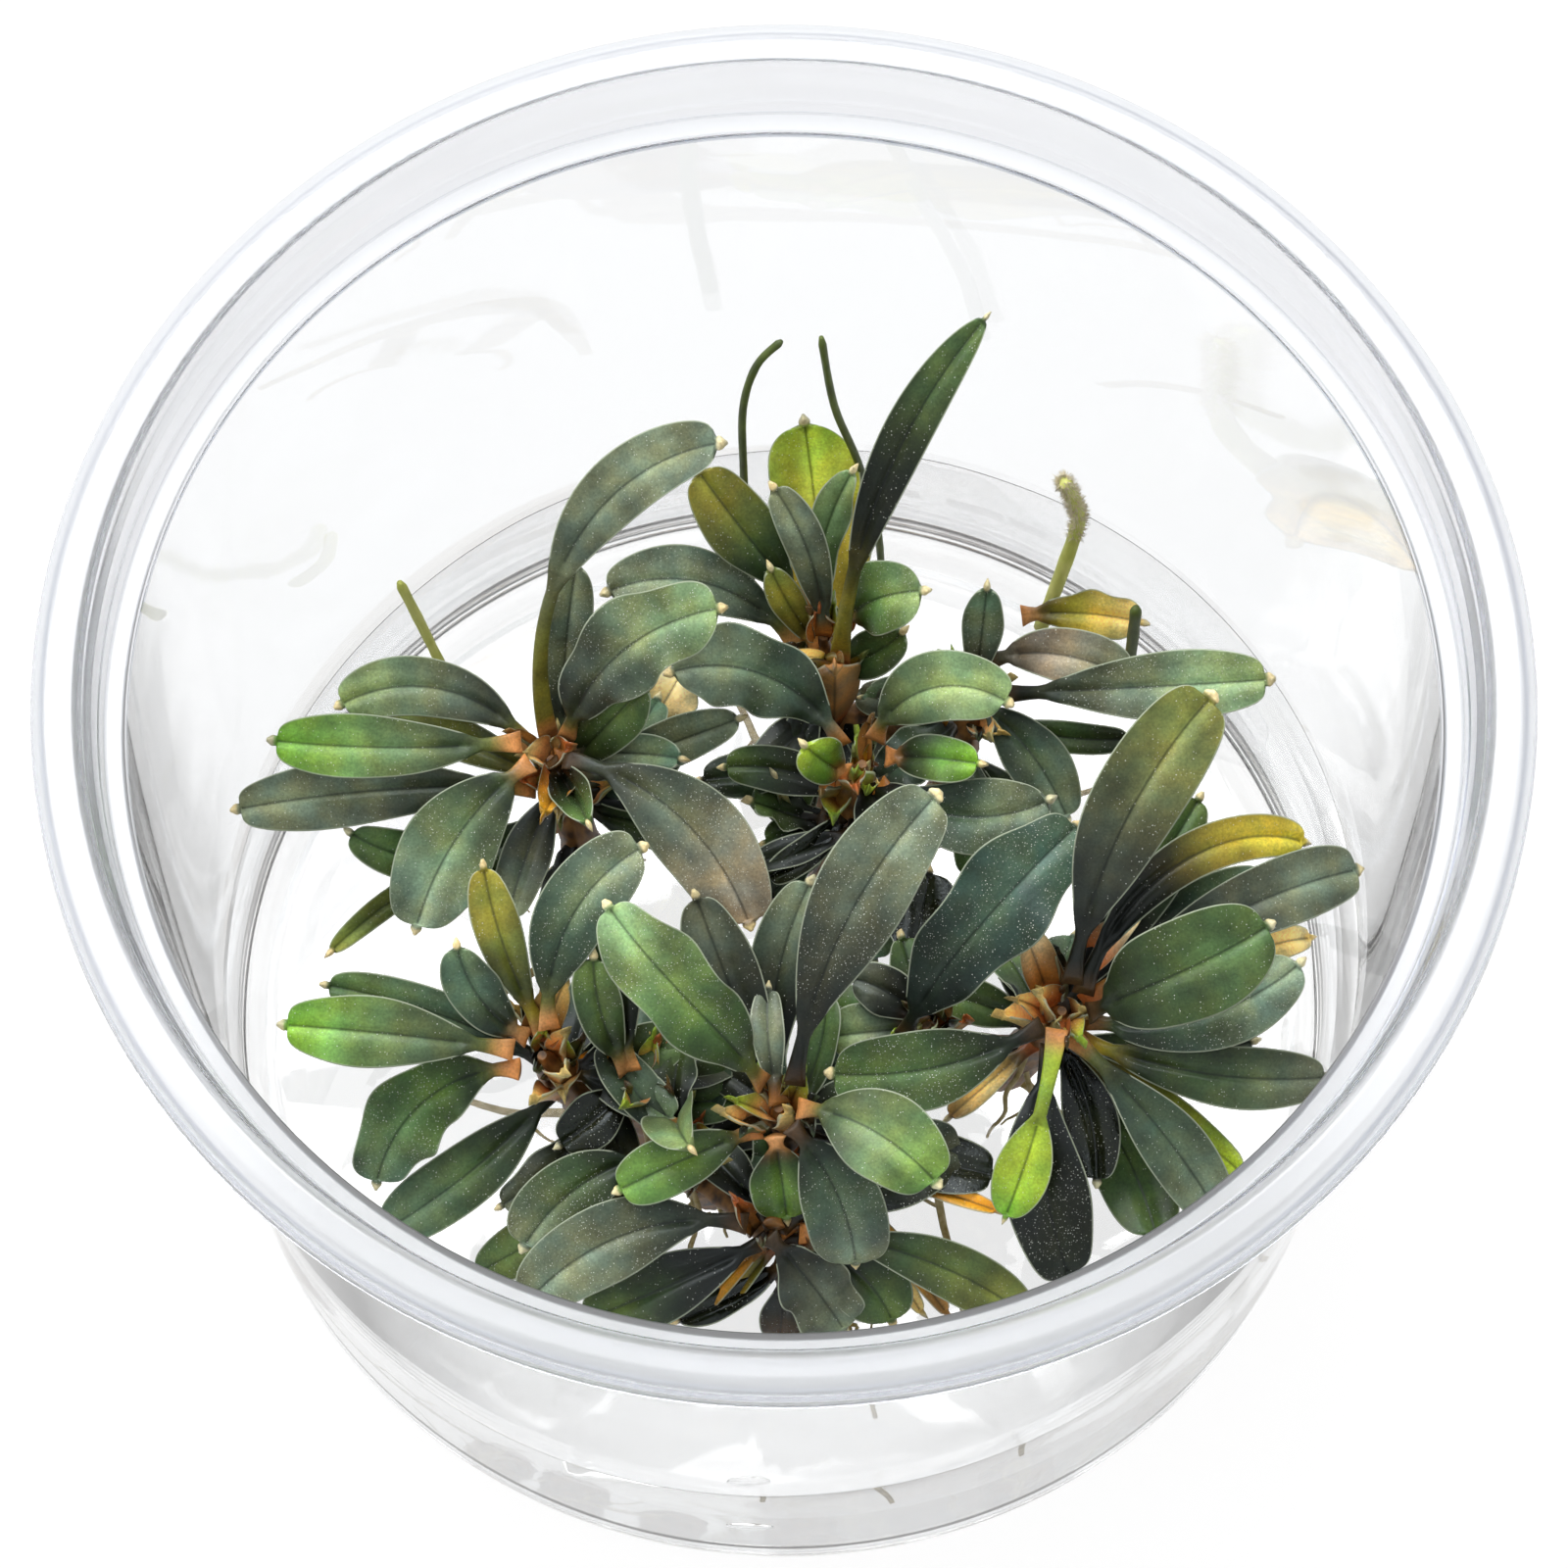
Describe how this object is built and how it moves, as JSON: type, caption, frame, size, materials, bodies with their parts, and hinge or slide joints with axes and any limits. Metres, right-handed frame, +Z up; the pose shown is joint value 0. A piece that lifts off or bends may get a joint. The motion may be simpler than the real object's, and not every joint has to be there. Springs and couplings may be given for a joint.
{
  "type": "bucephalandra in a growing cup",
  "caption": "Bucephalandra, a dwarf aquarium plant with dark oval leaves, growing on clear gel in its open clear plastic cup.",
  "frame": {"origin": "middle of the cup's underside, on the surface it stands on", "axes": "+Z up along the cup's axis, -Y to the cup's front as pictured, +X to its right"},
  "size_m": [0.105, 0.105, 0.068],
  "materials": {
    "clear_plastic": "clear, glossy, thin",
    "gel": "clear wet gel",
    "stem": "brown sheathed stem, orange at the crown",
    "leaf": "dark green with a satin blue sheen and fine pale dots",
    "old_leaf": "dry, yellow brown",
    "sprout": "thin olive stalk",
    "root": "fuzzy pale brown root"
  },
  "bodies": {
    "root": {"aerial_root": "root", "cup": "clear_plastic", "cut_stalk": "sprout", "gel": "gel", "leaf_back_1": "leaf", "leaf_back_2": "leaf", "leaf_back_3": "leaf", "leaf_back_4": "leaf", "leaf_back_5": "leaf", "leaf_back_left_1": "leaf", "leaf_back_left_2": "leaf", "leaf_back_left_3": "leaf", "leaf_back_left_4": "leaf", "leaf_back_left_5": "leaf", "leaf_back_left_6": "leaf", "leaf_back_left_7": "leaf", "leaf_back_left_8": "leaf", "leaf_back_right_1": "leaf", "leaf_back_right_2": "leaf", "leaf_front_1": "leaf", "leaf_front_2": "leaf", "leaf_front_3": "leaf", "leaf_front_4": "leaf", "leaf_front_5": "leaf", "leaf_front_6": "leaf", "leaf_front_left_1": "leaf", "leaf_front_left_2": "leaf", "leaf_inner_right_1": "leaf", "leaf_left_1": "leaf", "leaf_left_2": "leaf", "leaf_left_3": "leaf", "leaf_left_4": "leaf", "leaf_left_5": "leaf", "leaf_low_front_1": "leaf", "leaf_low_front_2": "leaf", "leaf_middle_1": "leaf", "leaf_middle_2": "leaf", "leaf_middle_3": "leaf", "leaf_middle_4": "leaf", "leaf_middle_5": "leaf", "leaf_right_1": "leaf", "leaf_right_10": "leaf", "leaf_right_2": "leaf", "leaf_right_3": "leaf", "leaf_right_4": "leaf", "leaf_right_5": "leaf", "leaf_right_6": "leaf", "leaf_right_7": "leaf", "leaf_right_8": "leaf", "leaf_right_9": "leaf", "old_leaf": "old_leaf", "root_tip": "root", "sprout_left": "sprout", "sprout_right": "sprout", "stem_back": "stem", "stem_back_left": "stem", "stem_front": "stem", "stem_left": "stem", "stem_right": "stem"}
  },
  "joints": []
}
